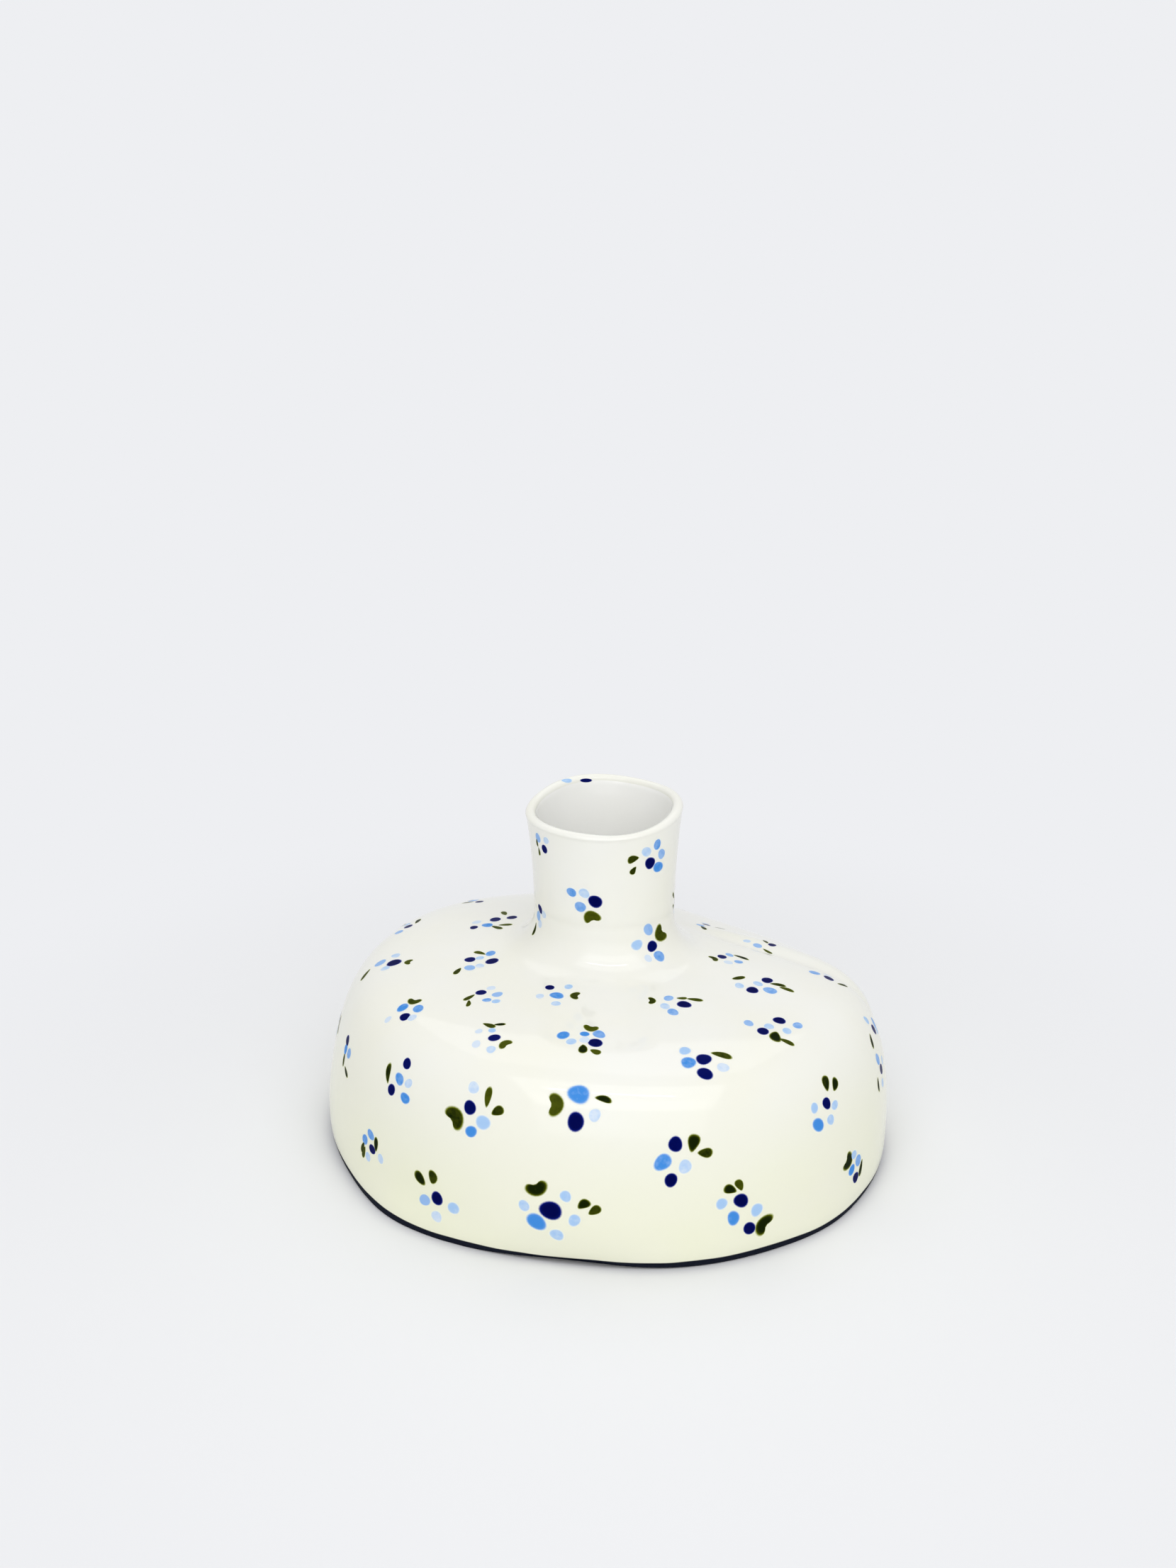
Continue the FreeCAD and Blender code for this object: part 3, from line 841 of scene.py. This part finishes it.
# The far side isn't in the photograph: the same kinds of sprig go on round the vase in rings, about as far
# apart. The way up the outside counts from the foot to the neck's joint at 1 and the lip at 2.
farSprigs = {
    "leafOverThree": {"cobalt": [(4, 3)], "sky": [(11, 3.6)], "pale": [(7.5, 4)], "leaf": [2, 9]},
    "fourRound": {"cobalt": [(6, 4), (12.5, 4)], "sky": [(9, 4.4)], "pale": [(3, 4.4)], "heart": [(1.8, 8)]},
    "heartBeside": {"cobalt": [(12, 1)], "sky": [(5, 5.4)], "pale": [(1, 6), (8, 5)], "heart": [(9.6, 7.4)],
                    "bud": [3.4]},
    "twoBuds": {"cobalt": [(11, 4)], "sky": [(3, 4.4), (7, 4.6)], "pale": [(1, 6.6)],
                "bud": [(5, 8.4), (12, 9)]},
}
farSpread = {
    # way up the outside, how many in the ring, where the ring starts
    "rings": ((0.13, 8, 0), (0.3, 8, 0.5), (0.46, 8, 0), (0.62, 7, 0.5), (0.78, 6, 0), (1.3, 4, 0.3),
              (1.7, 4, 0.8)),
    "shiftRound": 0.2,          # share of the space between two sprigs
    "shiftUp": (0.97, 1.03),
    "apart": 17,                # mm between the middles of two sprigs, at least
    "grazing": 0.02,            # how square to the camera the glaze is where the photograph still shows it
    "sizes": (0.88, 1.05),
    "sizeOnNeck": 0.8,
    "level": 0.98,              # a normal steeper than this has no way up the surface
}


def wayOnFarSide(place, normal, hour):
    up = Vector((0, 1, 0))
    if normal.z < farSpread["level"]:
        up = (Vector((0, 0, 1)) - normal * normal.z).normalized()
    angle = math.radians(degreesPerHour * hour)
    return up * math.cos(angle) + up.cross(normal) * math.sin(angle)


def inSight(place, normal):
    toCamera = camera.location - place
    if toCamera.normalized().dot(normal) <= farSpread["grazing"]:
        return False
    return skinHit(place + normal * mm, toCamera, painted["sightReach"] * mm)[0] is None


def farSide():
    lengths = np.linalg.norm(np.diff(outside, axis=0), axis=-1).cumsum(axis=0)
    lengths = np.concatenate([np.zeros((1, lengths.shape[1])), lengths])
    done = 0
    taken = list(sprigPlaces)
    for up, count, start in farSpread["rings"]:
        for number in range(count):
            shift = brush.uniform(-farSpread["shiftRound"], farSpread["shiftRound"])
            turn = math.radians(360 * (number + start + shift) / count)
            column = int(np.argmin(np.abs((turns - turn + math.pi) % (2 * math.pi) - math.pi)))
            jointLength = lengths[bodyEnd - 1, column]
            lipLength = lengths[bodyEnd - 1 + neck["rows"], column]
            length = jointLength * up if up < 1 else jointLength + (lipLength - jointLength) * (up - 1)
            length = length * brush.uniform(*farSpread["shiftUp"])
            row = int(np.argmin(np.abs(lengths[:, column] - length)))
            place, normal = Vector(outside[row, column]) * mm, Vector(outsideNormals[row, column])
            if inSight(place, normal):
                continue
            if min((place - other).length for other in taken) < farSpread["apart"] * mm:
                continue
            taken.append(place)
            sprig = dict(farSprigs[brush.choice(sorted(farSprigs))])
            sprig["size"] = brush.uniform(*farSpread["sizes"]) if up < 1 else farSpread["sizeOnNeck"]
            turned = brush.uniform(0, hoursRound)
            done += paintSprig(place, normal, sprig, lambda p, n, hour: wayOnFarSide(p, n, hour + turned))
    return done


print("dabs on the far side:", farSide())

# Underglaze paints, brushed on in one touch: full in the middle, thinning to a soft rim where
# the glaze shows through, and all under the same glassy coat
paintColours = {
    "cobalt": {"name": "cobaltUnderglaze", "full": "#00054C", "thin": "#14289C", "lightest": 0.12,
               "pieces": "cobaltDabs"},
    "sky": {"name": "skyUnderglaze", "full": "#4690E2", "thin": "#A4C6F3", "lightest": 0.85,
            "pieces": "skyDabs"},
    "pale": {"name": "paleBlueUnderglaze", "full": "#AACDF5", "thin": "#DDE9F7", "lightest": 0.9,
             "pieces": "paleDabs"},
    "leaf": {"name": "oliveUnderglaze", "full": "#141F02", "thin": "#8C981C", "lightest": 0.22,
             "pieces": "oliveLeaves"},
}
paintLook = {
    "streakSize": 1.6,          # mm
    "palerAbove": 40,           # heights in mm: the paint is paler over the top
    "palestAt": 72,
    "paler": 0.3,
    "thinStarts": 0.8,          # of tone, streak and height added up
    "thinFull": 1.5,
    "rim": (1, 0.45),           # thicknesses of the paint between which its colour thins
    "veil": (0.05, 0.75),       # and between which the glaze shows through
}


def makePaint(colours):
    material, tree = newMaterial(colours["name"])
    place, under = glazeColour(tree)
    thickness = addNode(tree, "Attribute", {}, "Fac", attribute_name="paint")
    tone = addNode(tree, "Attribute", {}, "Fac", attribute_name="tone")
    streak = addNode(tree, "TexNoise", {"Vector": place, "Scale": 1 / (paintLook["streakSize"] * mm),
                                        "Detail": 2})
    height = addNode(tree, "SeparateXYZ", {0: place}, "Z")
    high = addNode(tree, "MapRange", {"Value": height, "From Min": paintLook["palerAbove"] * mm,
                                      "From Max": paintLook["palestAt"] * mm,
                                      "To Max": paintLook["paler"]})
    mixedTone = addNode(tree, "Math", {0: tone, 1: streak}, operation="ADD")
    load = addNode(tree, "Math", {0: mixedTone, 1: high}, operation="ADD")
    thinned = addNode(tree, "MapRange", {"Value": load, "From Min": paintLook["thinStarts"],
                                         "From Max": paintLook["thinFull"],
                                         "To Max": colours["lightest"]})
    rim = addNode(tree, "MapRange", {"Value": thickness, "From Min": paintLook["rim"][0],
                                     "From Max": paintLook["rim"][1]})
    lighter = addNode(tree, "Math", {0: rim, 1: thinned}, operation="MAXIMUM")
    colour = addNode(tree, "Mix", {0: lighter, 6: linear(colours["full"]), 7: linear(colours["thin"])}, 2,
                     data_type="RGBA")
    shown = addNode(tree, "MapRange", {"Value": thickness, "From Min": paintLook["veil"][0],
                                       "From Max": paintLook["veil"][1]},
                    interpolation_type="SMOOTHSTEP")
    mixed = addNode(tree, "Mix", {0: shown, 6: under, 7: colour}, 2, data_type="RGBA")
    glazeShine(tree, place, mixed, glaze["iorOverPaint"])
    return material


def makePaintPiece(paintName):
    verts, faces, thick, tone, normals = paints[paintName]
    mesh = bpy.data.meshes.new(paintColours[paintName]["pieces"])
    mesh.from_pydata(verts, [], faces)
    mesh.polygons.foreach_set("use_smooth", [True] * len(faces))
    for name, values in (("paint", thick), ("tone", tone)):
        mesh.attributes.new(name, "FLOAT", "POINT").data.foreach_set("value", values)
    mesh.normals_split_custom_set_from_vertices(normals)
    mesh.materials.append(makePaint(paintColours[paintName]))
    placePiece(mesh)


for paintName in paintColours:
    makePaintPiece(paintName)
print("painted:", {name: len(paints[name][0]) for name in paintColours})


# Table: matte white drawing paper, uncoated and pressed, with a fine tooth and no shine. Away from the vase
# the background takes its place, so it runs into the pale room with no edge.
table = {
    "radius": 9,                # metres
    "corners": 64,
    "paper": "#F5F6F8",
    "toothSize": 1.5,           # mm, coarser than real so that it shows
    "toothHeight": 0.05,
    "toothStrength": 0.1,
    "roughness": 0.9,
    "specular": 0.1,
    "seenFar": "#EEEFF2",
    "fadesFrom": 0.12,          # metres from the middle of the vase
    "fadesTo": 0.32,
}


def seenRays(tree):
    # rays that show the background: straight to the camera, mirrored in gloss or through glass
    straight, gloss, glass = (addNode(tree, "LightPath", {}, ray)
                              for ray in ("Is Camera Ray", "Is Glossy Ray", "Is Transmission Ray"))
    indirect = addNode(tree, "Math", {0: gloss, 1: glass}, operation="MAXIMUM")
    return addNode(tree, "Math", {0: straight, 1: indirect}, operation="MAXIMUM")


def makePaper():
    material, tree = newMaterial("matteWhitePaper")
    place = addNode(tree, "TexCoord", {}, "Object")
    tooth = addNode(tree, "TexNoise", {"Vector": place, "Scale": 1 / (table["toothSize"] * mm)})
    grain = addNode(tree, "Bump", {"Height": tooth, "Strength": table["toothStrength"],
                                   "Distance": table["toothHeight"] * mm})
    paper = addNode(tree, "BsdfPrincipled", {"Base Color": linear(table["paper"]),
                                             "Roughness": table["roughness"],
                                             "Specular IOR Level": table["specular"], "Normal": grain})
    away = addNode(tree, "VectorMath", {0: place}, "Value", operation="LENGTH")
    far = addNode(tree, "MapRange", {"Value": away, "From Min": table["fadesFrom"],
                                     "From Max": table["fadesTo"]}, interpolation_type="SMOOTHSTEP")
    share = addNode(tree, "Math", {0: far, 1: seenRays(tree)}, operation="MULTIPLY")
    seen = addNode(tree, "Emission", {"Color": linear(table["seenFar"])})
    mixed = addNode(tree, "MixShader", {0: share, 1: paper, 2: seen})
    addNode(tree, "OutputMaterial", {"Surface": mixed})
    return material


def makeTable():
    steps = [2 * math.pi * k / table["corners"] for k in range(table["corners"])]
    edge = [(table["radius"] * math.cos(step), table["radius"] * math.sin(step), 0) for step in steps]
    mesh = bpy.data.meshes.new("paperTable")
    mesh.from_pydata(edge, [], [list(range(len(edge)))])
    mesh.materials.append(makePaper())
    paperTable = bpy.data.objects.new("paperTable", mesh)
    bpy.context.scene.collection.objects.link(paperTable)


makeTable()

# Lamps: soft boxes of a small studio. Places and sizes are in metres, from the middle of the vase as the
# camera sees it: to the right, away from the camera, up
lamps = {
    "overhead": {"at": (0.05, -0.75, 1.1), "size": (1.6, 1.0), "power": 5.2},
    "behindCamera": {"at": (0.05, -1.5, 0.8), "size": (2.0, 1.4), "power": 4.5},
    "ceilingBehind": {"at": (0.0, 0.6, 1.25), "size": (1.6, 0.9), "power": 2.7},
    "narrowStrip": {"at": (0.0, -0.62, 1.05), "size": (0.8, 0.025), "power": 0.6},
}
lampAim = (0, 0, 0.04)
roomLight = 0.56


def makeLamps():
    turn = Euler((0, 0, math.radians(view["turned"])))
    for name, lamp in lamps.items():
        data = bpy.data.lights.new(name, "AREA")
        data.shape = "RECTANGLE"
        data.size, data.size_y = lamp["size"]
        data.energy = lamp["power"]
        light = bpy.data.objects.new(name, data)
        light.location = Vector(lamp["at"])
        light.location.rotate(turn)
        light.rotation_euler = (Vector(lampAim) - light.location).to_track_quat("-Z", "Y").to_euler()
        bpy.context.scene.collection.objects.link(light)


def makeRoom():
    world = bpy.data.worlds.new("studioRoom")
    bpy.context.scene.world = world
    world.use_nodes = True
    tree = world.node_tree
    tree.nodes.clear()
    light = addNode(tree, "Background", {"Color": (1, 1, 1, 1), "Strength": roomLight})
    seen = addNode(tree, "Background", {"Color": linear(table["seenFar"])})
    both = addNode(tree, "MixShader", {0: seenRays(tree), 1: light, 2: seen})
    addNode(tree, "OutputWorld", {"Surface": both})


makeLamps()
makeRoom()
bpy.context.scene.view_settings.view_transform = "Standard"
print("studio set")
